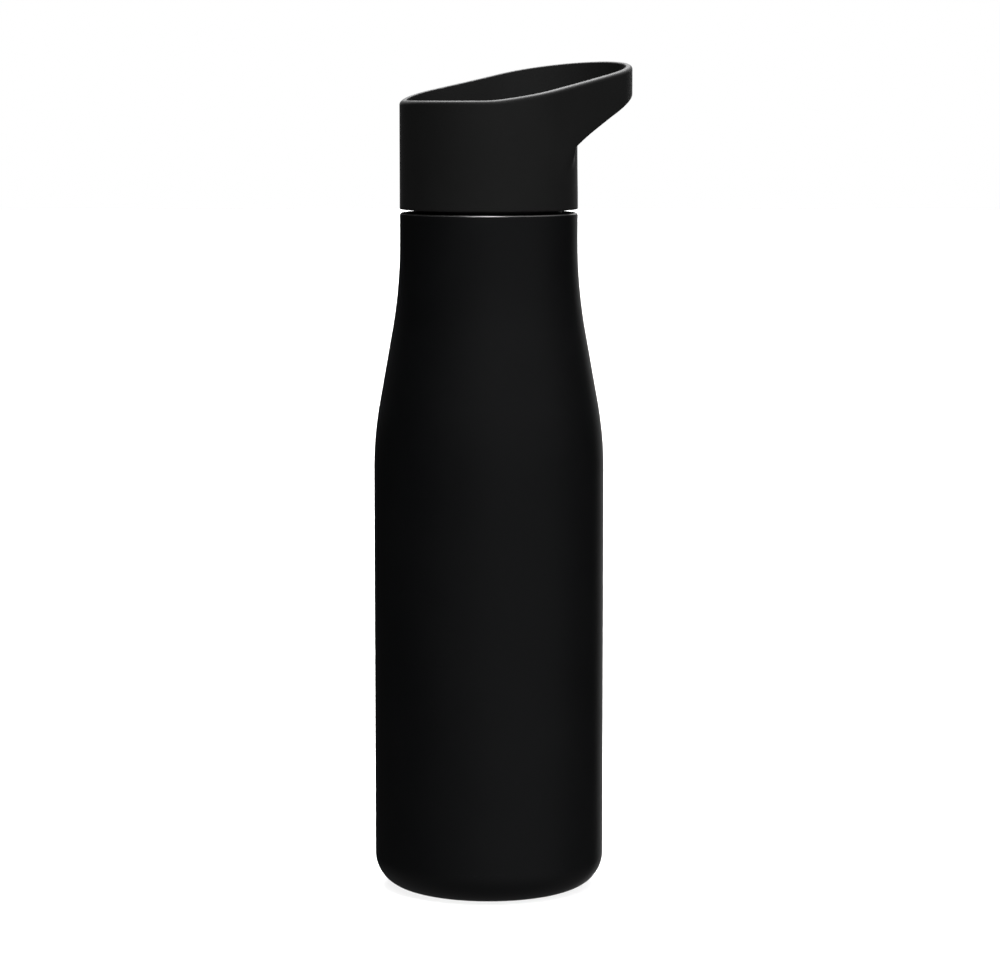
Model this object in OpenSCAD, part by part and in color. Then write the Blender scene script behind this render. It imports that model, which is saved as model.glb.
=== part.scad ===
// Double-wall drinking bottle with a screw-on lid and a soft carry loop.
// Units are millimetres and +Z is up. The bottle stands on Z = 0 with its axis on Z,
// and the carry loop leans out along +X.

/* [Bottle] */
// Outer diameter of the body
body_d = 72; // [71:0.5:73]
// Height of the shoulder's top face, under the lid's lower edge
shoulder_top = 212.3; // [208.3:0.5:216.3]
// Radius of the corner between the body and the base
corner_r = 10; // [8:1:12]
// Steepest angle of the shoulder from the axis
shoulder_angle = 10.1; // [9.6:0.1:10.6]
// Thickness of the steel walls
steel_t = 0.5; // [0.4:0.1:0.7]
// Inner diameter of the mouth
mouth_d = 41.2; // [40.8:0.2:41.2]

/* [Lid] */
// Outer diameter of the lid's sleeve and of the shoulder's top
head_d = 55.4; // [55.2:0.1:56]
// Height of the sleeve's level back rim above its lower edge
sleeve_h = 33.6; // [32:0.2:36]
// Width of the seam between the shoulder and the sleeve
seam_w = 1; // [0.8:0.1:1.5]

/* [Carry loop] */
// Distance from the axis to the loop's outer tip
loop_reach = 54.1; // [52:0.1:56]
// Outer radius of the loop's tip
loop_tip_r = 25.7; // [24.9:0.1:26.5]
// Thickness of the loop's band
band_t = 2.2; // [2:0.1:2.4]
// Angle at which the rim starts to rise towards the tip
rim_angle = 9.65; // [8.65:0.1:11.65]

/* [Hidden] */
$fn = 120;

body_r = body_d / 2;
head_r = head_d / 2;
mouth_r = mouth_d / 2;

// Shoulder: a convex arc, a short straight cone and a longer concave arc
shoulder_r1 = 120;
shoulder_r2 = 160;
collar_h = 9;                         // straight length under the shoulder's top face
shoulder_h = rise(body_r, head_r, shoulder_r1, shoulder_r2, shoulder_angle);
straight_top = shoulder_top - collar_h - shoulder_h;

// Neck and thread: two starts, right hand
neck_r = mouth_r + 2.2;               // outer radius of the neck
lip_top = shoulder_top + 14.7;        // top of the drinking lip
lead = 8;                             // rise in one turn
thread_d = 1.1;                       // depth of the thread
thread_z = shoulder_top + 4.1;        // centre of the neck's thread at its lower end
clear = 0.3;                          // radial gap between crest and root

// Inner vessel
gap = 2.6;                            // vacuum space between the straight walls
in_r = body_r - steel_t - gap;        // outer radius of the inner vessel
in_z0 = straight_top - 1;             // where its shoulder starts
in_joint = 17;                        // where the dished floor is welded on
in_floor = 7;                         // underside of the dished floor

// Underside of the base
ring_in = 22.5;                       // inner radius of the ring it stands on
web_z = 2.4;                          // underside of the base's web

// Lid
lid_z = shoulder_top + seam_w;        // lower edge of the sleeve
cup_r = head_r - 1.5;                 // outside of the lid moulding
skirt_r = neck_r + thread_d + clear;  // inside of the skirt
web_lo = lip_top + 1.8;
web_hi = web_lo + 2;
cup_top = web_hi + 6.2;
cover_top = cup_top + 1.5;
plug_r = mouth_r - 1.6;
plug_z = lip_top - 4.5;

// Sleeve and loop
rim_z0 = lid_z + sleeve_h;
rim_x0 = -18.2;                       // where the level back rim ends
tip_x = loop_reach - loop_tip_r;
under_x = 9.93;                       // the loop's lower edge turns down into the collar here,
under_r = 5;                          // on this radius
under_z0 = lid_z + 15.86;
front_top = cover_top + 1;            // top of the sleeve's wall inside the loop

// --- functions ---

// Points on an arc in the plane, from angle a0 to a1 in n steps
function arc(cx, cy, r, a0, a1, n) =
    [for (i = [0:n]) let (a = a0 + (a1 - a0) * i / n) [cx + r * cos(a), cy + r * sin(a)]];

// Length of the straight cone between the shoulder's two arcs, and the shoulder's height
function cone_len(r0, r1, ra, rb, a) = ((r0 - r1) - (ra + rb) * (1 - cos(a))) / sin(a);
function rise(r0, r1, ra, rb, a) = (ra + rb) * sin(a) + cone_len(r0, r1, ra, rb, a) * cos(a);

// Points of a shoulder that draws in from radius r0 at height z0 to radius r1
function shoulder(r0, z0, r1, ra, rb, a) =
    let (top = z0 + rise(r0, r1, ra, rb, a))
    concat(arc(r0 - ra, z0, ra, 0, a, 6),
           [for (p = arc(r1 + rb, top, rb, 180 + a, 180, 8)) [p[0], p[1]]]);

function backwards(v) = [for (i = [len(v) - 1:-1:0]) v[i]];

// Height of the sleeve's rim and of the loop's lower edge at distance x from the axis
function rim_z(x) = x < rim_x0 ? rim_z0
    : rim_z0 + tan(rim_angle) * (x - rim_x0);
function under_z(x) = x >= under_x + under_r * (1 - sin(30.4)) ? lid_z + 21.1 + 0.575 * (x - 14) - 0.0038 * pow(x - 14, 2)
    : x > under_x + 0.25 ? under_z0 + sqrt(pow(under_r, 2) - pow(under_x + under_r - x, 2))
    : under_z0 + sqrt(pow(under_r, 2) - pow(under_r - 0.25, 2)) - 3 * (under_x + 0.25 - x);

// Front part of the loop's plan, inset by t: two tangent lines and the round tip
function loop_plan(t) =
    let (r = head_r - t, q = loop_tip_r - t, th = acos((r - q) / tip_x))
    concat([[0, r - 8], [(r - 0.02) * cos(th), (r - 0.02) * sin(th)]],
           arc(tip_x, 0, q, th, -th, 32),
           [[(r - 0.02) * cos(th), -(r - 0.02) * sin(th)], [0, -(r - 8)]]);

// --- shared shapes ---

module lathe(points) { rotate_extrude() polygon(points); }

// One start of a thread that fades out at both ends: r_lo and r_hi are its inner and
// outer radii, w_lo and w_hi its widths there, wall is the radius of the surface it stands on
module thread(r_lo, r_hi, w_lo, w_hi, wall, outside, z, a0, a1) {
    n = ceil((a1 - a0) / 9);
    pts = [for (i = [0:n])
        let (a = a0 + (a1 - a0) * i / n,
             f = min(1, 0.1 + min(i, n - i) / 3),
             lo = outside ? r_lo : wall - (wall - r_lo) * f,
             hi = outside ? wall + (r_hi - wall) * f : r_hi,
             zc = z + lead * a / 360,
             wl = outside ? w_lo : w_lo + (w_hi - w_lo) * (1 - f),
             wh = outside ? w_hi + (w_lo - w_hi) * (1 - f) : w_hi)
        each [[lo * cos(a), lo * sin(a), zc - wl / 2], [hi * cos(a), hi * sin(a), zc - wh / 2],
              [hi * cos(a), hi * sin(a), zc + wh / 2], [lo * cos(a), lo * sin(a), zc + wl / 2]]];
    sides = [for (i = [0:n - 1]) for (j = [0:3])
        let (a = i * 4 + j, b = i * 4 + (j + 1) % 4)
        each [[a, b, b + 4], [a, b + 4, a + 4]]];
    caps = [[3, 2, 1], [3, 1, 0], [4 * n, 4 * n + 1, 4 * n + 2], [4 * n, 4 * n + 2, 4 * n + 3]];
    polyhedron(points = pts, faces = concat(sides, caps), convexity = 6);
}

// --- bottle ---

// Outer wall: body, shoulder and neck, with the thread rolled into the neck
module outer_shell() color("#16171a") {
    t = steel_t;
    union() {
        lathe(concat(
            [[body_r, corner_r]],
            shoulder(body_r, straight_top, head_r, shoulder_r1, shoulder_r2, shoulder_angle),
            arc(head_r - 0.8, shoulder_top - 0.8, 0.8, 0, 90, 4),
            [[neck_r, shoulder_top], [neck_r, lip_top - t], [neck_r - t, lip_top - t],
             [neck_r - t, shoulder_top - t]],
            arc(head_r - 0.8, shoulder_top - 0.8, 0.8 - t, 90, 0, 2),
            backwards(shoulder(body_r - t, straight_top, head_r - t, shoulder_r1 - t, shoulder_r2 + t, shoulder_angle)),
            [[body_r - t, corner_r]]));
        for (k = [0, 180])
            rotate([0, 0, k])
                thread(neck_r - t / 2, neck_r + thread_d, 2.2, 1, neck_r, true, thread_z, 0, 270);
    }
}

// Base cup: rounded corner, the ring it stands on, and a recessed web with a dimple
// and the evacuation hole in its middle
module outer_base() color("#16171a") {
    t = steel_t;
    c = corner_r;
    lathe(concat(
        arc(body_r - c, c, c, 0, -90, 10),
        [[ring_in, 0], [ring_in - 0.5, 0.5], [ring_in - 0.5, web_z], [3.5, web_z], [3, web_z + 1], [0.6, web_z + 1],
         [0.6, web_z + 1 + t], [3 + t * 0.6, web_z + 1 + t], [3.5 + t * 0.6, web_z + t], [ring_in - 0.5 + t, web_z + t],
         [ring_in - 0.5 + t, 0.5 + t], [ring_in + t, t]],
        arc(body_r - c, c, c - t, -90, 0, 10)));
}

// Inner wall, up through the neck to the rounded drinking lip
module inner_vessel() color("#c9cbcd") {
    t = steel_t;
    lathe(concat(
        [[in_r, in_joint]],
        shoulder(in_r, in_z0, mouth_r + t, 117, 100, 12),
        [[mouth_r + t, lip_top - t]],
        [[neck_r, lip_top - t]],
        arc(neck_r - 0.3, lip_top - 0.3, 0.3, 0, 90, 3),
        arc(mouth_r + 0.3, lip_top - 0.3, 0.3, 90, 180, 3),
        backwards(shoulder(in_r - t, in_z0, mouth_r, 117 - t, 100 + t, 12)),
        [[in_r - t, in_joint]]));
}

// Dished floor of the inner vessel
module inner_base() color("#bfc1c3") {
    t = steel_t;
    lathe(concat(
        [[in_r, in_joint]],
        arc(in_r - 8, in_floor + 8, 8, 0, -90, 8),
        [[0, in_floor], [0, in_floor + t]],
        arc(in_r - 8, in_floor + 8, 8 - t, -90, 0, 8),
        [[in_r - t, in_joint]]));
}

// Getter pill, spot welded to the top of the base's web
module getter() color("#6e6a63")
    translate([12, 0, web_z + steel_t])
        lathe([[0, 0], [4, 0], [4, 1.6], [3.6, 2], [0, 2]]);

// Bead in the dimple that closes the evacuation hole
module seal_bead() color("#8c8f8a")
    lathe(concat([[0, web_z + 1.4], [0.5, web_z + 1.4], [0.5, web_z + 1]],
                 [[2.2, web_z + 1]],
                 [[2, web_z + 0.6], [1.2, web_z + 0.25], [0, web_z + 0.15]]));

// Steel disc over the bead
module base_cover() color("#9a9c9e")
    lathe([[0, web_z - 0.5], [ring_in - 1.1, web_z - 0.5], [ring_in - 0.8, web_z - 0.3],
           [ring_in - 0.8, web_z], [0, web_z]]);

// --- lid ---

// Flat silicone ring between the lip and the lid's web
module seal_ring() color("#d8d6d0")
    lathe([[plug_r + 0.15, lip_top + 0.3], [plug_r + 0.3, lip_top + 0.25], [neck_r - 0.35, lip_top + 0.25],
           [neck_r - 0.2, lip_top + 0.4], [neck_r - 0.2, lip_top + 1.4], [neck_r - 0.35, lip_top + 1.55],
           [plug_r + 0.3, lip_top + 1.55], [plug_r + 0.15, lip_top + 1.5]]);

// Lid moulding: threaded skirt, web, the upper chamber's wall and four keys
module lid_cup() color("#1d1e20") union() {
    lathe([[skirt_r, lid_z], [skirt_r, web_lo], [0, web_lo], [0, web_hi], [cup_r - 1.2, web_hi],
           [cup_r - 1.2, cup_top], [cup_r, cup_top], [cup_r, lid_z + 0.3], [cup_r - 0.3, lid_z]]);
    for (k = [0, 180])
        rotate([0, 0, k])
            thread(neck_r + clear, skirt_r + 0.4, 1, 2.2, skirt_r, false, thread_z - lead / 4, 20, 200);
    for (k = [45:90:315])
        rotate([0, 0, k])
            translate([cup_r - 0.4, -0.6, lid_z + 4])
                cube([1, 1.2, 12]);
}

// Hollow plug under the web
module lid_plug() color("#26272a")
    lathe([[0, plug_z], [plug_r - 0.1, plug_z], [plug_r, plug_z + 0.1], [plug_r, web_lo], [plug_r - 1.5, web_lo],
           [plug_r - 1.5, plug_z + 1.5], [0, plug_z + 1.5]]);

// Steel dish on the plug's underside
module lid_liner() color("#bcbec0")
    lathe([[0, plug_z - 0.5], [plug_r + 0.2, plug_z - 0.5], [plug_r + 0.6, plug_z - 0.1], [plug_r + 0.6, plug_z + 2.5],
           [plug_r + 0.1, plug_z + 2.5], [plug_r + 0.1, plug_z], [0, plug_z]]);

module plug_foam() color("#e6e2d2")
    translate([0, 0, plug_z + 1.55]) cylinder(r = plug_r - 1.7, h = web_lo - plug_z - 1.6);

module foam_disc() color("#e6e2d2")
    translate([0, 0, web_hi + 0.05]) cylinder(r = cup_r - 2.9, h = cup_top - web_hi - 0.1);

// Disc that closes the upper chamber, with a spigot inside the chamber's wall
module lid_cover() color("#1f2022")
    lathe([[0, cup_top], [cup_r - 2.8, cup_top], [cup_r - 2.8, cup_top - 2.5], [cup_r - 1.3, cup_top - 2.5],
           [cup_r - 1.3, cup_top], [cup_r, cup_top], [cup_r, cover_top - 0.3], [cup_r - 0.3, cover_top], [0, cover_top]]);

// Soft sleeve round the lid, with the carry loop in one piece
module loop_sleeve() color("#232427")
    difference() {
        union() {
            // round collar, cut down inside the loop
            difference() {
                translate([0, 0, lid_z]) cylinder(r = head_r, h = 60);
                translate([0, 0, front_top]) linear_extrude(60) polygon(loop_plan(band_t));
            }
            // the band: the plan's strip between the loop's lower edge and the rim
            difference() {
                intersection() {
                    translate([0, 0, lid_z]) linear_extrude(60) polygon(loop_plan(0));
                    translate([0, 60, 0]) rotate([90, 0, 0]) linear_extrude(120)
                        polygon(concat([[5, under_z(5)]],
                                       [for (i = [0:4]) let (x = 10.18 + 2.22 * i / 4 + 0.001) [x, under_z(x)]],
                                       [for (i = [1:10]) let (x = 12.41 + 44.6 * i / 10) [x, under_z(x)]],
                                       [[57.01, lid_z + 70], [-1, lid_z + 70], [-1, under_z(5)]]));
                }
                translate([0, 0, lid_z - 5]) linear_extrude(80) polygon(loop_plan(band_t));
            }
        }
        // everything above the rim
        translate([0, 60, 0]) rotate([90, 0, 0]) linear_extrude(120)
            polygon(concat([[-60, rim_z0]],
                           [[rim_x0, rim_z0], [58, rim_z(58)]],
                           [[58, lid_z + 80], [-60, lid_z + 80]]));
        // bore for the lid, and the narrower bore above its cover
        translate([0, 0, lid_z - 1]) cylinder(r = cup_r + 0.1, h = cover_top + 0.1 - lid_z + 1);
        translate([0, 0, lid_z]) cylinder(r = head_r - band_t, h = 80);
        for (k = [45:90:315])
            rotate([0, 0, k])
                translate([cup_r - 0.4, -0.7, lid_z + 3.9])
                    cube([1.1, 1.4, 12.2]);
    }

outer_shell();
outer_base();
inner_vessel();
inner_base();
getter();
seal_bead();
base_cover();
seal_ring();
lid_cup();
lid_plug();
lid_liner();
plug_foam();
foam_disc();
lid_cover();
loop_sleeve();
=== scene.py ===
import math

import bpy
import numpy as np
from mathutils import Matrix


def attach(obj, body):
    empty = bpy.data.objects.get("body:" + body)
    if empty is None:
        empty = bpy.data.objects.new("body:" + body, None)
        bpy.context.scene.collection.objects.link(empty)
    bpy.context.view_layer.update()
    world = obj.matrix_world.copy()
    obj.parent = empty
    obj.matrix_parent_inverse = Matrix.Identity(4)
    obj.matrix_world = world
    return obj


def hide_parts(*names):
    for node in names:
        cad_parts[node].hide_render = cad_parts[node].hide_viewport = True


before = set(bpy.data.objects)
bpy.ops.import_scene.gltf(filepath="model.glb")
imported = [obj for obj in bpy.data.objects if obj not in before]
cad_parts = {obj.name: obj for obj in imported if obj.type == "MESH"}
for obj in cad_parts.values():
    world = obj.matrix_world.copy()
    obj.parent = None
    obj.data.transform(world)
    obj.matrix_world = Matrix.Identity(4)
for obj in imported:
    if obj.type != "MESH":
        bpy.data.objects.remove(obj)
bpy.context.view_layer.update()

MM = 0.001

# ---------------------------------------------------------------- camera
cam_data = bpy.data.cameras.new("camera")
cam_data.sensor_width = 36.0
cam_data.lens = 122.4
cam_data.clip_start, cam_data.clip_end = 0.02, 40.0
cam = bpy.data.objects.new("camera", cam_data)
bpy.context.scene.collection.objects.link(cam)
cam.location = (-0.7657, -0.7332, 0.251)
cam.rotation_euler = (math.radians(90 - 6.55), 0.0, math.radians(-46.43))
bpy.context.scene.camera = cam
bpy.context.scene.view_settings.view_transform = "Standard"

# ---------------------------------------------------------------- dimensions, mm
BODY_R, HEAD_R, MOUTH_R = 36.0, 27.7, 20.6
NECK_R, SKIRT_R, CUP_R = 22.8, 24.2, 26.2
T = 0.5
CORNER = 10.0
TOP = 212.3                      # shoulder's top face
LIP = 227.0
LID_Z = 213.3                    # sleeve's lower edge
WEB_LO, WEB_HI = 228.8, 230.8
CUP_TOP, COVER_TOP = 237.0, 238.5
FRONT_TOP = 239.5
PLUG_R, PLUG_Z = 19.0, 222.5
WEB_Z, RING_IN = 2.4, 22.5
IN_R = 32.9
LEAD, THREAD_D = 8.0, 1.1
THREAD_Z = TOP + 4.1
BAND = 2.2
LOOP_R, LOOP_X = 25.7, 28.4


# ---------------------------------------------------------------- profiles and lathes
def rise(r0, r1, ra, rb, a):
    cone = ((r0 - r1) - (ra + rb) * (1 - math.cos(a))) / math.sin(a)
    return (ra + rb) * math.sin(a) + cone * math.cos(a)


def shoulder(r0, z0, r1, ra, rb, deg, n0=22, n1=26):
    """Points, bottom to top, of a shoulder made of a convex arc, a cone and a concave arc."""
    a = math.radians(deg)
    top = z0 + rise(r0, r1, ra, rb, a)
    up = [(r0 - ra + ra * math.cos(a * i / n0), z0 + ra * math.sin(a * i / n0)) for i in range(n0 + 1)]
    out = [(r1 + rb - rb * math.cos(a * (1 - i / n1)), top - rb * math.sin(a * (1 - i / n1))) for i in range(n1 + 1)]
    return up, out, top


def arc(cx, cz, r, a0, a1, n):
    return [(cx + r * math.cos(math.radians(a0 + (a1 - a0) * i / n)),
             cz + r * math.sin(math.radians(a0 + (a1 - a0) * i / n))) for i in range(n + 1)]


def bend(cx, cz, r, a0, a1, n=24):
    """An arc as points of a smooth curve, for lathe()."""
    return [(round(x, 7), round(z, 7), 0) for x, z in arc(cx, cz, r, a0, a1, n)]


def rounded(corners, closed=True, step=11.0):
    """corners: (r, z, radius) in mm. Returns points and outward unit normals of the outline, walked
    counter-clockwise in the r-z plane, each corner turned into an arc of its radius. A corner with
    radius 0 is a point of a smooth curve."""
    pts, nrm = [], []
    n = len(corners)
    for i in range(n):
        r, z, rad = corners[i]
        p = np.array([r, z], float)
        a = np.array(corners[i - 1][:2], float)
        b = np.array(corners[(i + 1) % n][:2], float)
        if not closed and i in (0, n - 1):
            d = (b - p) if i == 0 else (p - a)
            d /= np.linalg.norm(d)
            pts.append(p)
            nrm.append(np.array([d[1], -d[0]]))
            continue
        u, v = p - a, b - p
        lu, lv = np.linalg.norm(u), np.linalg.norm(v)
        u, v = u / lu, v / lv
        nu, nv = np.array([u[1], -u[0]]), np.array([v[1], -v[0]])
        turn = math.atan2(u[0] * v[1] - u[1] * v[0], float(u @ v))
        if abs(p[0]) < 1e-6:
            # a face that reaches the axis is level there
            m = nu if abs(u[0]) > abs(v[0]) else nv
            pts.append(p)
            nrm.append(np.array([0.0, math.copysign(1.0, m[1])]))
            continue
        if rad <= 0 or abs(turn) < 1e-4:
            m = nu + nv
            pts.append(p)
            nrm.append(m / np.linalg.norm(m))
            continue
        back = min(rad * math.tan(abs(turn) / 2), 0.499 * lu, 0.499 * lv)
        rad = back / math.tan(abs(turn) / 2)
        side = 1.0 if turn > 0 else -1.0
        centre = p - u * back - nu * rad * side
        steps = max(2, int(math.ceil(abs(math.degrees(turn)) / step)), int(math.ceil(rad * abs(turn) / 0.7)))
        for k in range(steps + 1):
            t = turn * k / steps
            nn = np.array([nu[0] * math.cos(t) - nu[1] * math.sin(t), nu[0] * math.sin(t) + nu[1] * math.cos(t)])
            pts.append(centre + nn * rad * side)
            nrm.append(nn)
    return pts, nrm


def subdivided(pts, nrm, longest, closed=True):
    out_p, out_n = [], []
    n = len(pts)
    for i in range(n if closed else n - 1):
        j = (i + 1) % n
        out_p.append(pts[i])
        out_n.append(nrm[i])
        d = float(np.linalg.norm(pts[j] - pts[i]))
        if d > longest:
            # a long straight run keeps its own normal
            e = (pts[j] - pts[i]) / d
            own = np.array([e[1], -e[0]])
            k = int(math.ceil(d / longest))
            for m in range(1, k):
                f = m / k
                out_p.append(pts[i] * (1 - f) + pts[j] * f)
                mix = nrm[i] * (1 - f) + nrm[j] * f
                out_n.append(own if float(mix @ own) > 0.999 else mix / np.linalg.norm(mix))
    if not closed:
        out_p.append(pts[-1])
        out_n.append(nrm[-1])
    return out_p, out_n


def make_mesh(name, verts, faces, normals, smooth=True):
    """verts in mm, normals per vertex (or None)."""
    me = bpy.data.meshes.new(name)
    me.from_pydata((np.asarray(verts, float) * MM).tolist(), [], faces)
    me.update()
    if smooth:
        me.polygons.foreach_set("use_smooth", [True] * len(me.polygons))
        if normals is not None:
            me.normals_split_custom_set_from_vertices(np.asarray(normals, float).tolist())
    ob = bpy.data.objects.new(name, me)
    bpy.context.scene.collection.objects.link(ob)
    return ob


def lathe(name, corners, segs=192, longest=8.0, relief=None):
    """A closed solid of revolution from its rounded outline. relief = (radius, z0, z1, height function of
    angle and z) raises a thread on the wall of that radius."""
    pts, nrm = rounded(corners)
    pts, nrm = subdivided(pts, nrm, longest)
    th = np.arange(segs) * 2 * math.pi / segs
    c, s = np.cos(th), np.sin(th)
    verts, norms, rings = [], [], []
    for p, m in zip(pts, nrm):
        if abs(p[0]) < 1e-6:
            rings.append([len(verts)])
            verts.append((0.0, 0.0, p[1]))
            norms.append((0.0, 0.0, 1.0 if m[1] > 0 else -1.0))
        else:
            rings.append(list(range(len(verts), len(verts) + segs)))
            r = np.full(segs, p[0])
            nr, nt, nz = np.full(segs, m[0]), np.zeros(segs), np.full(segs, m[1])
            if relief is not None and abs(p[0] - relief[0]) < 0.01 and relief[1] <= p[1] <= relief[2] and abs(m[0]) > 0.99:
                g, e = relief[3], 0.01
                r = r + g(th, p[1])
                dz = (g(th, p[1] + e) - g(th, p[1] - e)) / (2 * e)
                dt = (g(th + e / 20, p[1]) - g(th - e / 20, p[1])) / (e / 10) / r
                k = math.copysign(1.0, m[0]) / np.sqrt(1 + dz * dz + dt * dt)
                nr, nt, nz = k, -dt * k, -dz * k
            verts.extend(zip((r * c).tolist(), (r * s).tolist(), [float(p[1])] * segs))
            norms.extend(zip((nr * c - nt * s).tolist(), (nr * s + nt * c).tolist(), nz.tolist()))
    faces = []
    n = len(rings)
    for i in range(n):
        a, b = rings[i], rings[(i + 1) % n]
        if len(a) == 1 and len(b) == 1:
            continue
        if len(a) == 1:
            faces.extend((a[0], b[(k + 1) % segs], b[k]) for k in range(segs))
        elif len(b) == 1:
            faces.extend((a[k], a[(k + 1) % segs], b[0]) for k in range(segs))
        else:
            faces.extend((a[k], a[(k + 1) % segs], b[(k + 1) % segs], b[k]) for k in range(segs))
    ob = make_mesh(name, verts, faces, norms)
    return ob


# ---------------------------------------------------------------- solids meshed from a distance function
def ramp(a, b, x):
    t = np.clip((x - a) / (b - a), 0.0, 1.0)
    return t * t * (3 - 2 * t)


def both(a, b, r):
    """Intersection of two distance fields whose shared edge is rounded to radius r."""
    return np.minimum(np.maximum(a, b), -r) + np.hypot(np.maximum(a + r, 0), np.maximum(b + r, 0))


def either(a, b, k):
    """Union of two distance fields with a fillet of radius k in the corner between them."""
    k = np.maximum(k, 1e-6)
    return np.maximum(k, np.minimum(a, b)) - np.hypot(np.maximum(k - a, 0), np.maximum(k - b, 0))


def mesh_field(name, f, lo, hi, h, relax=4):
    """Surface nets on a grid of pitch h, then the points are evened out and moved exactly onto the surface."""
    lo, hi = np.array(lo, float), np.array(hi, float)
    n = np.ceil((hi - lo) / h).astype(int) + 1
    ax = [lo[i] + h * np.arange(n[i]) for i in range(3)]
    v = np.empty(tuple(n), np.float32)
    for k in range(n[0]):                                # slab by slab, to keep memory small
        yy, zz = np.meshgrid(ax[1], ax[2], indexing="ij")
        v[k] = f(np.full_like(yy, ax[0][k]), yy, zz)
    s = v < 0
    corner = [(i, j, k) for i in (0, 1) for j in (0, 1) for k in (0, 1)]
    m = [n[i] - 1 for i in range(3)]
    count = np.zeros(tuple(m), np.int8)
    for i, j, k in corner:
        count += s[i:m[0] + i, j:m[1] + j, k:m[2] + k]
    active = (count > 0) & (count < 8)
    cells = np.argwhere(active)
    index = np.full(active.shape, -1, np.int64)
    index[active] = np.arange(len(cells))
    p, c = np.zeros((len(cells), 3)), np.zeros(len(cells))
    for a in corner:
        for axis in range(3):
            if a[axis]:
                continue
            b = list(a)
            b[axis] = 1
            ca, cb = cells + np.array(a), cells + np.array(b)
            va, vb = v[tuple(ca.T)].astype(float), v[tuple(cb.T)].astype(float)
            cut = (va < 0) != (vb < 0)
            t = va[cut] / (va[cut] - vb[cut])
            q = np.tile(np.array(a, float), (int(cut.sum()), 1))
            q[:, axis] += t
            p[cut] += q
            c[cut] += 1
    p = lo + h * (cells + p / c[:, None])
    quads = []
    for axis in range(3):
        u, w = (axis + 1) % 3, (axis + 2) % 3
        a0, a1 = [slice(None)] * 3, [slice(None)] * 3
        a0[axis], a1[axis] = slice(0, -1), slice(1, None)
        for d in (u, w):
            a0[d] = a1[d] = slice(1, -1)
        first, second = s[tuple(a0)], s[tuple(a1)]
        e = np.argwhere(first != second)
        outward = first[tuple(e.T)]
        e[:, u] += 1
        e[:, w] += 1
        ring = []
        for du, dw in ((-1, -1), (0, -1), (0, 0), (-1, 0)):
            g = e.copy()
            g[:, u] += du
            g[:, w] += dw
            ring.append(index[tuple(g.T)])
        ring = np.stack(ring, 1)
        ring[~outward] = ring[~outward][:, ::-1]
        quads.append(ring)
    quads = np.concatenate(quads)

    def grad(q):
        e = 0.01
        g = np.empty_like(q)
        for i in range(3):
            d = np.zeros(3)
            d[i] = e
            g[:, i] = (f(*(q + d).T) - f(*(q - d).T)) / (2 * e)
        return g

    def settle(q, times):
        for _ in range(times):
            g = grad(q)
            g2 = np.maximum((g * g).sum(1), 0.05)
            move = (f(*q.T) / g2)[:, None] * g
            far = np.linalg.norm(move, axis=1, keepdims=True)
            q = q - move * np.minimum(1.0, 0.4 * h / np.maximum(far, 1e-9))
        return q

    ea = quads.ravel()
    eb = np.roll(quads, -1, axis=1).ravel()
    for _ in range(relax):
        total = np.zeros_like(p)
        near = np.zeros(len(p))
        for i in range(3):
            total[:, i] = np.bincount(ea, p[eb, i], len(p)) + np.bincount(eb, p[ea, i], len(p))
        near = np.bincount(ea, minlength=len(p)) + np.bincount(eb, minlength=len(p))
        p = settle(p * 0.4 + 0.6 * total / near[:, None], 1)
    p = settle(p, 3)
    g = grad(p)
    g /= np.maximum(np.linalg.norm(g, axis=1, keepdims=True), 1e-9)
    return make_mesh(name, p, quads.tolist(), g)


# ---------------------------------------------------------------- the sleeve with its carry loop
def hull_dist(x, y, big, small, d):
    """Distance to the outline that wraps a circle at the axis and a smaller one at distance d along X."""
    b = (big - small) / d
    a = math.sqrt(1 - b * b)
    ay = np.abs(y)
    k = a * x - b * ay
    return np.where(k < 0, np.hypot(x, y) - big, np.where(k > a * d, np.hypot(x - d, y) - small, a * ay + b * x - big))


def rim(x):
    u = x + 18.2
    root = np.sqrt(u * u + 2.6)
    return 246.87 + 0.085 * (u + root) + 0.22 * ramp(14.0, 48.0, x), 0.085 * (1 + u / root)


def under(x):
    """Height and slope of the loop's lower edge."""
    v = np.maximum(x, 2.0) - 14.0
    return 234.4 + 0.575 * v - 0.0038 * v * v - 0.28 * ramp(14.0, 26.0, x), 0.575 - 0.0076 * v


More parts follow.
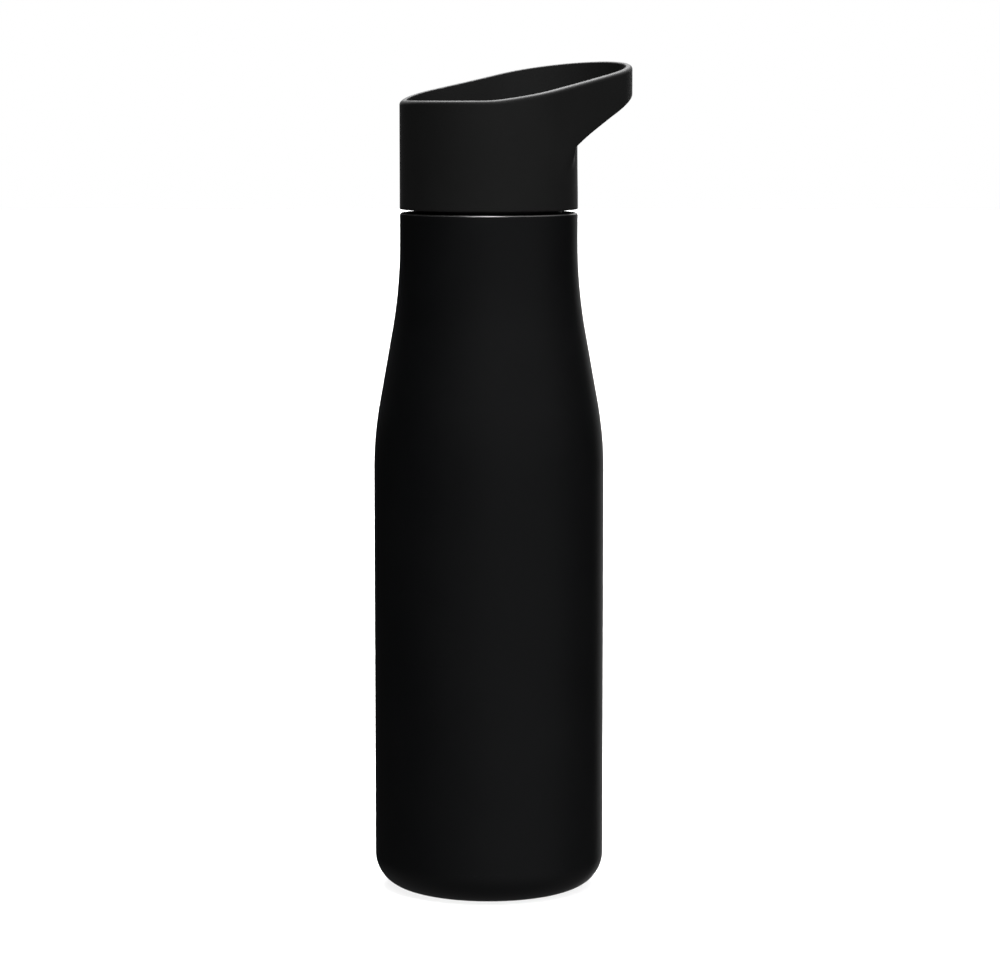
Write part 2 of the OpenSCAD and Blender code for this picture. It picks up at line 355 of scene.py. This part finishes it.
def sleeve_field(x, y, z):
    rho = np.hypot(x, y)
    ho = hull_dist(x, y, HEAD_R, LOOP_R, LOOP_X)
    zr, sr = rim(x)
    zu, su = under(x)
    # band: the wall of the plan's outline, between the loop's lower edge and the rim
    band = both(ho, (z - zr) / np.sqrt(1 + sr * sr), 1.3)
    band = both(band, (zu - z) / np.sqrt(1 + su * su), 0.5)
    band = both(band, -(ho + BAND), 0.3)
    # collar: round below, swelling to the loop's outline under the band, leaning in a
    # little at the front under the loop
    c = x / np.maximum(rho, 1e-6)
    bb = (HEAD_R - LOOP_R) / LOOP_X
    aa = math.sqrt(1 - bb * bb)
    side = np.clip(bb * c + aa * np.sqrt(np.maximum(1 - c * c, 0)), 0.5, 1.0)
    proud = np.where(c > bb, HEAD_R / side - HEAD_R, 0.0)
    swell = proud * (1 - ramp(0.34, 0.46, c)) * ramp(zu - 7.0, zu + 0.6, z)
    lean = 0.22 * ramp(LID_Z + 1, LID_Z + 19, z) * ramp(0.5, 0.72, c)
    collar = np.maximum(rho - (HEAD_R - lean + swell), (HEAD_R - BAND) - rho)
    collar = both(collar, z - FRONT_TOP, 0.55)
    # fillet where the band leaves the collar: none where they are one wall
    d = either(collar, band, 1.2 * ramp(10.8, 13.0, x))
    d = both(d, LID_Z - z, 0.4)
    # bore for the lid and its four key grooves
    d = both(d, -np.maximum(rho - (CUP_R + 0.1), z - (COVER_TOP + 0.1)), 0.15)
    c, s_ = (x + y) / math.sqrt(2), (x - y) / math.sqrt(2)
    tall = np.abs(z - 223.3) - 6.1
    for radial, across in ((np.abs(c), s_), (np.abs(s_), c)):
        d = np.maximum(d, -np.maximum(np.maximum(np.abs(across) - 0.7, np.abs(radial - 26.2) - 0.7), tall))
    return d


# ---------------------------------------------------------------- thread forms
def thread_height(offset, a0, a1, sign):
    """Height of a two-start thread over its wall, as a function of the angle and z."""
    def g(th, z):
        total = 0.0
        for start in (0.0, 180.0):
            a = np.mod(np.degrees(th) - start, 360.0)
            a = np.where(a > 355, a - 360, a)
            zc = THREAD_Z + offset + LEAD * a / 360.0
            form = 1 - ramp(0.45, 1.12, np.abs(z - zc))
            total = total + form * ramp(a0, a0 + 26, a) * ramp(-a1, -(a1 - 26), -a)
        return sign * THREAD_D * total
    return g


def dense(z0, z1, r, pitch=0.22):
    n = int(round(abs(z1 - z0) / pitch))
    return [(r, z0 + (z1 - z0) * i / n, 0) for i in range(n + 1)]


def add_box(ob, centre, size, turn, r):
    """Adds a small box with rounded edges to a piece's mesh. Sizes in mm, turn about Z in degrees."""
    import bmesh
    from mathutils import Matrix, Vector
    bm = bmesh.new()
    bm.from_mesh(ob.data)
    made = bmesh.ops.create_cube(bm, size=1.0)["verts"]
    for v in made:
        v.co = Vector((v.co[i] * size[i] * MM for i in range(3)))
    edges = list({e for v in made for e in v.link_edges})
    out = bmesh.ops.bevel(bm, geom=edges, offset=r * MM, segments=3, affect="EDGES", profile=0.5)
    done = list({v for f in out["faces"] for v in f.verts} | {v for v in made if v.is_valid})
    m = Matrix.Rotation(math.radians(turn), 4, "Z") @ Matrix.Translation(Vector(centre) * MM)
    for v in done:
        v.co = m @ v.co
    bm.to_mesh(ob.data)
    bm.free()


# ---------------------------------------------------------------- the bottle's pieces
up, out, top = shoulder(BODY_R, TOP - 9.0 - rise(36.0, 27.7, 120, 160, math.radians(10.1)), HEAD_R, 120, 160, 10.1)
upi, outi, topi = shoulder(BODY_R - T, up[0][1], HEAD_R - T, 120 - T, 160 + T, 10.1)
shell = lathe("body_shell", [(BODY_R, CORNER, 0.01)] + [(r, z, 0) for r, z in up + out]
              + [(HEAD_R, TOP, 0.8), (NECK_R, TOP, 0.4)] + dense(TOP + 0.8, LIP - T - 0.1, NECK_R)
              + [(NECK_R, LIP - T, 0.02), (NECK_R - T, LIP - T, 0.02), (NECK_R - T, TOP - T, 0.3), (HEAD_R - T, TOP - T, 0.3)]
              + [(r, z, 0) for r, z in reversed(upi + outi)] + [(BODY_R - T, CORNER, 0.01)],
              segs=240, relief=(NECK_R, TOP + 0.9, LIP - 0.8, thread_height(0.0, 0.0, 270.0, 1.0)))

base = lathe("base_cup", [(0.6, WEB_Z + 1, 0.08), (3.0, WEB_Z + 1, 0.35), (3.5, WEB_Z, 0.35), (RING_IN - 0.5, WEB_Z, 0.45),
                          (RING_IN - 0.5, 0.0, 0.6)] + bend(BODY_R - CORNER, CORNER, CORNER, -90, 0, 28)[:-1]
             + [(BODY_R, CORNER, 0.01), (BODY_R - T, CORNER, 0.01)]
             + bend(BODY_R - CORNER, CORNER, CORNER - T, 0, -90, 28)[1:] + [(RING_IN, T, 0.3), (RING_IN, WEB_Z + T, 0.3), (3.8, WEB_Z + T, 0.3),
                          (3.3, WEB_Z + 1 + T, 0.3), (0.6, WEB_Z + 1 + T, 0.08)], segs=240, longest=5)

ivu, ivo, ivt = shoulder(IN_R, up[0][1] - 1, MOUTH_R + T, 117, 100, 12)
ivui, ivoi, ivti = shoulder(IN_R - T, up[0][1] - 1, MOUTH_R, 117 - T, 100 + T, 12)
vessel = lathe("inner_wall", [(IN_R, 17.0, 0.01)] + [(r, z, 0) for r, z in ivu + ivo]
               + [(MOUTH_R + T, LIP - T, 0.05), (NECK_R, LIP - T, 0.02), (NECK_R, LIP, 0.24), (MOUTH_R, LIP, 0.5)]
               + [(r, z, 0) for r, z in reversed(ivui + ivoi)] + [(IN_R - T, 17.0, 0.01)], segs=192)

floor_dish = lathe("inner_floor", [(0, 7.0, 0)] + bend(IN_R - 8, 15.0, 8.0, -90, 0) + [(IN_R, 17.0, 0.01), (IN_R - T, 17.0, 0.01)]
                   + bend(IN_R - 8, 15.0, 8.0 - T, 0, -90) + [(0, 7.0 + T, 0)], segs=192, longest=4)

cover = lathe("base_disc", [(0, WEB_Z - 0.36, 0), (16.4, WEB_Z - 0.36, 0.25), (16.9, WEB_Z - 0.5, 0.25),
                            (RING_IN - 0.8, WEB_Z - 0.5, 0.2), (RING_IN - 0.8, WEB_Z, 0.03), (0, WEB_Z, 0)], segs=192, longest=3)

bead = lathe("closing_bead", [(0, WEB_Z + 0.15, 0), (1.2, WEB_Z + 0.25, 0.6), (2.0, WEB_Z + 0.6, 0.4), (2.2, WEB_Z + 1, 0.05),
                              (0.5, WEB_Z + 1, 0.05), (0.5, WEB_Z + 1.4, 0.15), (0, WEB_Z + 1.4, 0)], segs=96, longest=1)

seal = lathe("lip_seal", [(PLUG_R + 0.15, LIP + 0.25, 0.35), (NECK_R - 0.2, LIP + 0.25, 0.45), (NECK_R - 0.2, LIP + 1.55, 0.45),
                          (PLUG_R + 0.15, LIP + 1.55, 0.35)], segs=192)

cup = lathe("lid_moulding", [(SKIRT_R, LID_Z, 0.3), (CUP_R, LID_Z, 0.3), (CUP_R, CUP_TOP, 0.15), (CUP_R - 1.2, CUP_TOP, 0.1), (CUP_R - 1.2, WEB_HI, 0.3), (0, WEB_HI, 0),
                             (0, WEB_LO, 0), (SKIRT_R, WEB_LO, 0.5)] + list(reversed(dense(LID_Z + 0.4, WEB_LO - 1.0, SKIRT_R))),
            segs=240, relief=(SKIRT_R, LID_Z + 0.45, WEB_LO - 1.2, thread_height(-LEAD / 4, 20.0, 200.0, -1.0)))
for turn in (45, 135, 225, 315):
    add_box(cup, (CUP_R + 0.1, 0, LID_Z + 10), (1.0, 1.2, 12.0), turn, 0.15)

plug = lathe("mouth_plug", [(0, PLUG_Z, 0), (PLUG_R, PLUG_Z, 0.3), (PLUG_R, WEB_LO, 0.03), (PLUG_R - 1.5, WEB_LO, 0.03),
                            (PLUG_R - 1.5, PLUG_Z + 1.5, 0.4), (0, PLUG_Z + 1.5, 0)], segs=192, longest=4)

liner = lathe("plug_dish", [(0, PLUG_Z - 0.22, 0), (12.6, PLUG_Z - 0.22, 0.5), (13.6, PLUG_Z - 0.5, 0.5), (PLUG_R + 0.6, PLUG_Z - 0.5, 0.48),
                            (PLUG_R + 0.6, PLUG_Z + 2.5, 0.2), (PLUG_R + 0.1, PLUG_Z + 2.5, 0.2), (PLUG_R + 0.1, PLUG_Z, 0.03), (0, PLUG_Z, 0)],
              segs=192, longest=3)

disc = lathe("lid_top", [(0, CUP_TOP, 0), (CUP_R - 2.8, CUP_TOP, 0.1), (CUP_R - 2.8, CUP_TOP - 2.5, 0.15), (CUP_R - 1.3, CUP_TOP - 2.5, 0.25),
                         (CUP_R - 1.3, CUP_TOP, 0.1), (CUP_R, CUP_TOP, 0.05), (CUP_R, COVER_TOP, 0.3), (21.6, COVER_TOP, 0.5),
                         (20.6, COVER_TOP - 0.45, 0.5), (0, COVER_TOP - 0.45, 0)], segs=192, longest=3)

sleeve = mesh_field("carry_sleeve", sleeve_field, (-29, -29, 212), (55.5, 29, 261), 0.44)

for piece, node, body, slot in (
        (shell, "outer_shell", "bottle", "coated_steel"), (base, "outer_base", "bottle", "coated_steel"),
        (vessel, "inner_vessel", "bottle", "bare_steel"), (floor_dish, "inner_base", "bottle", "bare_steel"),
        (cover, "base_cover", "bottle", "bare_steel"), (bead, "seal_bead", "bottle", "solder"), (seal, "seal_ring", "lid_seal", "seal_silicone"),
        (cup, "lid_cup", "lid", "lid_plastic"), (plug, "lid_plug", "lid", "lid_plastic"),
        (liner, "lid_liner", "lid", "bare_steel"), (disc, "lid_cover", "lid", "lid_plastic"),
        (sleeve, "loop_sleeve", "lid", "sleeve_silicone")):
    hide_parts(node)
    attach(piece, body)


# ---------------------------------------------------------------- materials
class Nodes:
    """Short calls for building a node material on object coordinates."""

    def __init__(self, name):
        self.mat = bpy.data.materials.new(name)
        self.mat.use_nodes = True
        self.t = self.mat.node_tree
        self.t.nodes.clear()
        self.out = self.t.nodes.new("ShaderNodeOutputMaterial")
        self.bsdf = self.t.nodes.new("ShaderNodeBsdfPrincipled")
        self.t.links.new(self.bsdf.outputs[0], self.out.inputs["Surface"])
        self.coord = self.t.nodes.new("ShaderNodeTexCoord").outputs["Object"]

    def link(self, a, b):
        self.t.links.new(a, b)

    def noise(self, scale, detail=2.0, rough=0.5, vector=None):
        n = self.t.nodes.new("ShaderNodeTexNoise")
        n.inputs["Scale"].default_value = scale
        n.inputs["Detail"].default_value = detail
        n.inputs["Roughness"].default_value = rough
        self.link(vector or self.coord, n.inputs["Vector"])
        return n.outputs["Fac"]

    def voronoi(self, scale):
        n = self.t.nodes.new("ShaderNodeTexVoronoi")
        n.feature = "SMOOTH_F1"
        n.inputs["Scale"].default_value = scale
        self.link(self.coord, n.inputs["Vector"])
        return n.outputs["Distance"]

    def math(self, op, a, b=None):
        n = self.t.nodes.new("ShaderNodeMath")
        n.operation = op
        for i, v in enumerate((a, b)):
            if v is None:
                continue
            if isinstance(v, (int, float)):
                n.inputs[i].default_value = v
            else:
                self.link(v, n.inputs[i])
        return n.outputs[0]

    def span(self, fac, lo, hi, a=0.3, b=0.7):
        n = self.t.nodes.new("ShaderNodeMapRange")
        self.link(fac, n.inputs["Value"])
        n.inputs["From Min"].default_value, n.inputs["From Max"].default_value = a, b
        n.inputs["To Min"].default_value, n.inputs["To Max"].default_value = lo, hi
        return n.outputs["Result"]

    def colours(self, fac, stops):
        n = self.t.nodes.new("ShaderNodeValToRGB")
        r = n.color_ramp
        while len(r.elements) < len(stops):
            r.elements.new(0.5)
        for e, (pos, col) in zip(r.elements, stops):
            e.position, e.color = pos, (*col, 1.0)
        self.link(fac, n.inputs["Fac"])
        return n.outputs["Color"]

    def bump(self, height, strength, distance, normal=None):
        n = self.t.nodes.new("ShaderNodeBump")
        n.inputs["Strength"].default_value = strength
        n.inputs["Distance"].default_value = distance
        self.link(height, n.inputs["Height"])
        if normal is not None:
            self.link(normal, n.inputs["Normal"])
        return n.outputs["Normal"]

    def set(self, **values):
        for k, v in values.items():
            s = self.bsdf.inputs[k.replace("_", " ")]
            if hasattr(v, "is_output") or isinstance(v, bpy.types.NodeSocket):
                self.link(v, s)
            else:
                s.default_value = v
        return self

    def facing(self, centre):
        """How far a face looks away from an upright line through centre: 1 outwards, -1 inwards."""
        def vec(op, a, b=None):
            n = self.t.nodes.new("ShaderNodeVectorMath")
            n.operation = op
            for i, v in enumerate((a, b)):
                if v is not None and isinstance(v, tuple):
                    n.inputs[i].default_value = v
                elif v is not None:
                    self.link(v, n.inputs[i])
            return n.outputs["Value" if op == "DOT_PRODUCT" else "Vector"]
        flat = vec("MULTIPLY", vec("SUBTRACT", self.coord, centre), (1.0, 1.0, 0.0))
        return vec("DOT_PRODUCT", vec("NORMALIZE", flat), self.t.nodes.new("ShaderNodeTexCoord").outputs["Normal"])

    def ring_coord(self):
        """(distance from the axis, height, a trace of the angle): lines in it run round the axis."""
        sep = self.t.nodes.new("ShaderNodeSeparateXYZ")
        self.link(self.coord, sep.inputs[0])
        r = self.math("SQRT", self.math("ADD", self.math("MULTIPLY", sep.outputs[0], sep.outputs[0]),
                                        self.math("MULTIPLY", sep.outputs[1], sep.outputs[1])))
        com = self.t.nodes.new("ShaderNodeCombineXYZ")
        self.link(r, com.inputs[0])
        self.link(sep.outputs[2], com.inputs[1])
        self.link(self.math("MULTIPLY", sep.outputs[0], 0.01), com.inputs[2])
        return com.outputs[0]


def grey(v, warm=0.0):
    return (v * (1 + warm), v, v * (1 - warm))


def coated_steel():
    """Powder coat, with a thin bare line on the shoulder's top edge; the neck is bare turned steel
    from just above its root."""
    m = Nodes("powder_coat")
    cloud = m.noise(38.0, 3.0, 0.55)
    grain = m.noise(2600.0, 2.0, 0.6)
    peel = m.noise(700.0, 1.0, 0.4)
    lines = m.noise(5200.0, 3.0, 0.7, m.ring_coord())
    sep = m.t.nodes.new("ShaderNodeSeparateXYZ")
    m.link(m.coord, sep.inputs[0])
    r2 = m.math("ADD", m.math("MULTIPLY", sep.outputs[0], sep.outputs[0]), m.math("MULTIPLY", sep.outputs[1], sep.outputs[1]))
    edge = m.math("MULTIPLY", m.span(sep.outputs[2], 0.0, 1.0, (TOP - 0.40) * MM, (TOP - 0.34) * MM),
                  m.span(m.math("SQRT", r2), 0.0, 1.0, (HEAD_R - 0.72) * MM, (HEAD_R - 0.66) * MM))
    bare = m.math("MAXIMUM", edge, m.span(sep.outputs[2], 0.0, 1.0, (TOP + 1.25) * MM, (TOP + 1.32) * MM))
    coat = m.colours(cloud, [(0.25, (0.0064, 0.0067, 0.0076)), (0.75, (0.0088, 0.0092, 0.0102))])
    steel = m.colours(lines, [(0.3, grey(0.52, 0.01)), (0.7, grey(0.64, 0.005))])
    mix = m.t.nodes.new("ShaderNodeMix")
    mix.data_type = "RGBA"
    m.link(bare, mix.inputs[0])
    m.link(coat, mix.inputs[6])
    m.link(steel, mix.inputs[7])
    rough = m.span(m.math("ADD", m.math("MULTIPLY", cloud, 0.5), m.math("MULTIPLY", grain, 0.5)), 0.45, 0.53)
    rough = m.math("SUBTRACT", rough, m.math("MULTIPLY", bare, m.span(lines, 0.12, 0.22)))
    m.set(Base_Color=mix.outputs[2], Roughness=rough, Metallic=bare,
          Normal=m.bump(grain, 0.22, 0.00002, m.bump(peel, 0.16, 0.00005)))
    m.set(Specular_IOR_Level=0.28)
    return m.mat


def sleeve_silicone():
    m = Nodes("soft_silicone")
    cloud = m.noise(55.0, 3.0, 0.5)
    grain = m.noise(3400.0, 2.0, 0.55)
    # painted light: the inner face of the loop, where it looks towards the loop's upright axis, gets a lighter colour
    # that stands in for light falling on it inside the loop
    inner = m.span(m.facing((14 * MM, 0.0, 0.0)), 1.0, 0.0, -0.35, 0.05)
    skin = m.colours(cloud, [(0.25, (0.0196, 0.0199, 0.0198)), (0.75, (0.0234, 0.0237, 0.0236))])
    # painted light: the lighter colour of the loop's inner face
    lit_inside_tone = m.colours(cloud, [(0.25, (0.0300, 0.0304, 0.0303)), (0.75, (0.0354, 0.0359, 0.0357))])
    mix = m.t.nodes.new("ShaderNodeMix")
    mix.data_type = "RGBA"
    m.link(inner, mix.inputs[0])
    m.link(skin, mix.inputs[6])
    m.link(lit_inside_tone, mix.inputs[7])
    m.set(Base_Color=mix.outputs[2],
          Roughness=m.span(m.math("ADD", m.math("MULTIPLY", cloud, 0.6), m.math("MULTIPLY", grain, 0.4)), 0.56, 0.64),
          Normal=m.bump(grain, 0.25, 0.000015))
    m.set(Specular_IOR_Level=0.28, Sheen_Weight=0.03, Sheen_Roughness=0.4)
    return m.mat


def lid_plastic():
    m = Nodes("moulded_plastic")
    cloud = m.noise(70.0, 2.0, 0.5)
    spark = m.voronoi(2400.0)
    m.set(Base_Color=m.colours(cloud, [(0.3, (0.0125, 0.0125, 0.0130)), (0.7, (0.0165, 0.0165, 0.0170))]),
          Roughness=m.span(spark, 0.42, 0.52, 0.0, 0.8),
          Normal=m.bump(spark, 0.3, 0.00003))
    m.set(Specular_IOR_Level=0.45)
    return m.mat


def turned_steel(name, tone, rough, fine=5200.0):
    m = Nodes(name)
    ring = m.ring_coord()
    lines = m.noise(fine, 3.0, 0.7, ring)
    broad = m.noise(420.0, 2.0, 0.5, ring)
    stain = m.noise(60.0, 3.0, 0.6)
    m.set(Base_Color=m.colours(m.math("ADD", m.math("MULTIPLY", lines, 0.5), m.math("MULTIPLY", stain, 0.5)),
                               [(0.3, grey(tone * 0.86, 0.01)), (0.7, grey(tone * 1.05, 0.005))]),
          Roughness=m.span(m.math("ADD", m.math("MULTIPLY", lines, 0.6), m.math("MULTIPLY", broad, 0.4)), rough - 0.07, rough + 0.09),
          Normal=m.bump(lines, 0.35, 0.00002, m.bump(broad, 0.15, 0.00004)))
    m.set(Metallic=1.0, Anisotropic=0.45)
    return m.mat


def seal_silicone():
    m = Nodes("seal_silicone")
    cloud = m.noise(240.0, 2.0, 0.5)
    m.set(Base_Color=m.colours(cloud, [(0.3, (0.60, 0.59, 0.56)), (0.7, (0.68, 0.67, 0.64))]),
          Roughness=m.span(cloud, 0.36, 0.46), Normal=m.bump(m.noise(1800.0, 2.0), 0.15, 0.00002))
    m.set(Subsurface_Weight=0.35, Subsurface_Scale=0.001)
    return m.mat


def foam():
    m = Nodes("cell_foam")
    cell = m.voronoi(1500.0)
    m.set(Base_Color=m.colours(cell, [(0.0, (0.62, 0.58, 0.46)), (0.7, (0.80, 0.76, 0.64))]),
          Roughness=m.span(cell, 0.8, 0.95, 0, 1), Normal=m.bump(cell, 0.7, 0.0002))
    return m.mat


def dull_metal(name, tone, rough):
    m = Nodes(name)
    n = m.noise(1200.0, 4.0, 0.65)
    m.set(Base_Color=m.colours(n, [(0.3, grey(tone * 0.75, 0.03)), (0.7, grey(tone * 1.15, 0.02))]),
          Roughness=m.span(n, rough - 0.1, rough + 0.1), Normal=m.bump(n, 0.4, 0.00006))
    m.set(Metallic=1.0)
    return m.mat


def give(ob, mat):
    ob.data.materials.clear()
    ob.data.materials.append(mat)
    ob.data.polygons.foreach_set("material_index", [0] * len(ob.data.polygons))


coat, silicone, plastic = coated_steel(), sleeve_silicone(), lid_plastic()
inner_steel, disc_steel = turned_steel("turned_steel", 0.60, 0.30), turned_steel("disc_steel", 0.56, 0.34, 3600.0)
for ob, mat in ((shell, coat), (base, coat), (vessel, inner_steel), (floor_dish, inner_steel), (cover, disc_steel),
                (seal, seal_silicone()), (cup, plastic), (plug, plastic), (liner, disc_steel), (disc, plastic),
                (sleeve, silicone), (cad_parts["getter"], dull_metal("sintered", 0.2, 0.6)),
                (bead, dull_metal("solder", 0.45, 0.4))):
    give(ob, mat)
foam_mat = foam()
give(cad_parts["plug_foam"], foam_mat)
give(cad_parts["foam_disc"], foam_mat)

# ---------------------------------------------------------------- stage
def stage_material():
    m = Nodes("paper_sweep")
    n = m.noise(6.0, 2.0, 0.5)
    m.set(Base_Color=m.colours(n, [(0.3, (0.86, 0.86, 0.86)), (0.7, (0.88, 0.88, 0.88))]), Roughness=0.9)
    m.set(Specular_IOR_Level=0.1)
    return m.mat


def sweep(radius=6.0, segs=96):
    """Round level floor, pale paper."""
    pts = [radius * (i / 14) ** 2 for i in range(1, 15)]
    verts, faces = [(0.0, 0.0, 0.0)], []
    for r in pts:
        verts += [(r * math.cos(2 * math.pi * k / segs), r * math.sin(2 * math.pi * k / segs), 0.0) for k in range(segs)]
    faces += [(0, 1 + k, 1 + (k + 1) % segs) for k in range(segs)]
    for i in range(len(pts) - 1):
        a, b = 1 + i * segs, 1 + (i + 1) * segs
        faces += [(a + k, b + k, b + (k + 1) % segs, a + (k + 1) % segs) for k in range(segs)]
    me = bpy.data.meshes.new("sweep")
    me.from_pydata(verts, [], faces)
    me.polygons.foreach_set("use_smooth", [True] * len(me.polygons))
    me.update()
    ob = bpy.data.objects.new("sweep", me)
    bpy.context.scene.collection.objects.link(ob)
    give(ob, stage_material())
    return ob


floor = sweep()
floor.visible_diffuse = False
floor.visible_glossy = False

# ---------------------------------------------------------------- light
# Lamps for the paper alone, so that the paper's brightness and the bottle's are set apart. The
# second gives the soft contact shadow.
only = bpy.data.collections.new("paper_only")
only.objects.link(floor)
for name, energy, angle, shadow in (("paper_lamp", 3.05, 10, False), ("shadow_lamp", 0.65, 120, True)):
    lamp = bpy.data.lights.new(name, "SUN")
    lamp.energy = energy
    lamp.angle = math.radians(angle)
    lamp.use_shadow = shadow
    lamp_ob = bpy.data.objects.new(name, lamp)
    bpy.context.scene.collection.objects.link(lamp_ob)
    lamp_ob.location = (0, 0, 2)
    lamp_ob.light_linking.receiver_collection = only

# The studio round the bottle: soft windows of light, by direction. az is measured from the
# camera's side, positive to the camera's right; el is the height above the horizon.
HEAD = math.radians(46.43)
FWD = (math.sin(HEAD), math.cos(HEAD), 0.0)
RIGHT = (math.cos(HEAD), -math.sin(HEAD), 0.0)
WINDOWS = {
    # name: (az, half width, softness, el, half height, softness, strength)
    "key": (36, 24, 36, 10, 30, 24, 0.26),
    "left": (-26, 16, 24, 12, 30, 24, 0.12),
    "side": (92, 20, 24, 46, 12, 18, 0.38),
    "back": (162, 7, 5, 8, 30, 12, 1.0),
    "hair": (180, 18, 12, 56, 9, 14, 26.0),
    "brow": (2, 14, 16, 66, 5, 9, 10.0),
    "paper": (0, 181, 1, -62, 30, 20, 0.12),
    "fill": (0, 181, 1, 0, 91, 1, 0.010),
}


class Sky:
    def __init__(self):
        self.world = bpy.data.worlds.new("studio")
        bpy.context.scene.world = self.world
        self.world.use_nodes = True
        self.t = self.world.node_tree
        self.t.nodes.clear()

    def node(self, kind):
        return self.t.nodes.new(kind)

    def math(self, op, a, b=0.0, c=None):
        n = self.node("ShaderNodeMath")
        n.operation = op
        for i, v in enumerate((a, b) if c is None else (a, b, c)):
            if isinstance(v, (int, float)):
                n.inputs[i].default_value = v
            else:
                self.t.links.new(v, n.inputs[i])
        return n.outputs[0]

    def dot(self, a, v):
        n = self.node("ShaderNodeVectorMath")
        n.operation = "DOT_PRODUCT"
        self.t.links.new(a, n.inputs[0])
        n.inputs[1].default_value = v
        return n.outputs["Value"]

    def soft(self, x, edge, softness):
        n = self.node("ShaderNodeMapRange")
        n.interpolation_type = "SMOOTHSTEP"
        self.t.links.new(x, n.inputs["Value"])
        n.inputs["From Min"].default_value = edge
        n.inputs["From Max"].default_value = edge + softness
        n.inputs["To Min"].default_value = 1.0
        n.inputs["To Max"].default_value = 0.0
        return n.outputs["Result"]

    def build(self):
        d = self.node("ShaderNodeTexCoord").outputs["Generated"]
        r, f, u = self.dot(d, RIGHT), self.dot(d, FWD), self.dot(d, (0, 0, 1))
        az = self.math("MULTIPLY", self.math("ARCTAN2", r, self.math("MULTIPLY", f, -1.0)), 180 / math.pi)
        el = self.math("MULTIPLY", self.math("ARCSINE", u), 180 / math.pi)
        total = None
        for a0, aw, asoft, e0, ew, esoft, k in WINDOWS.values():
            off = self.math("ABSOLUTE", self.math("WRAP", self.math("SUBTRACT", az, a0), 180.0, -180.0))
            w = self.math("MULTIPLY", self.soft(off, aw, asoft),
                          self.soft(self.math("ABSOLUTE", self.math("SUBTRACT", el, e0)), ew, esoft))
            w = self.math("MULTIPLY", w, k)
            total = w if total is None else self.math("ADD", total, w)
        lit, seen = self.node("ShaderNodeBackground"), self.node("ShaderNodeBackground")
        lit.inputs["Color"].default_value = (1.0, 1.0, 1.0, 1.0)
        self.t.links.new(total, lit.inputs["Strength"])
        seen.inputs["Color"].default_value = (1.0, 1.0, 1.0, 1.0)
        seen.inputs["Strength"].default_value = 1.0
        mix = self.node("ShaderNodeMixShader")
        self.t.links.new(self.node("ShaderNodeLightPath").outputs["Is Camera Ray"], mix.inputs[0])
        self.t.links.new(lit.outputs[0], mix.inputs[1])
        self.t.links.new(seen.outputs[0], mix.inputs[2])
        self.t.links.new(mix.outputs[0], self.node("ShaderNodeOutputWorld").inputs["Surface"])


Sky().build()
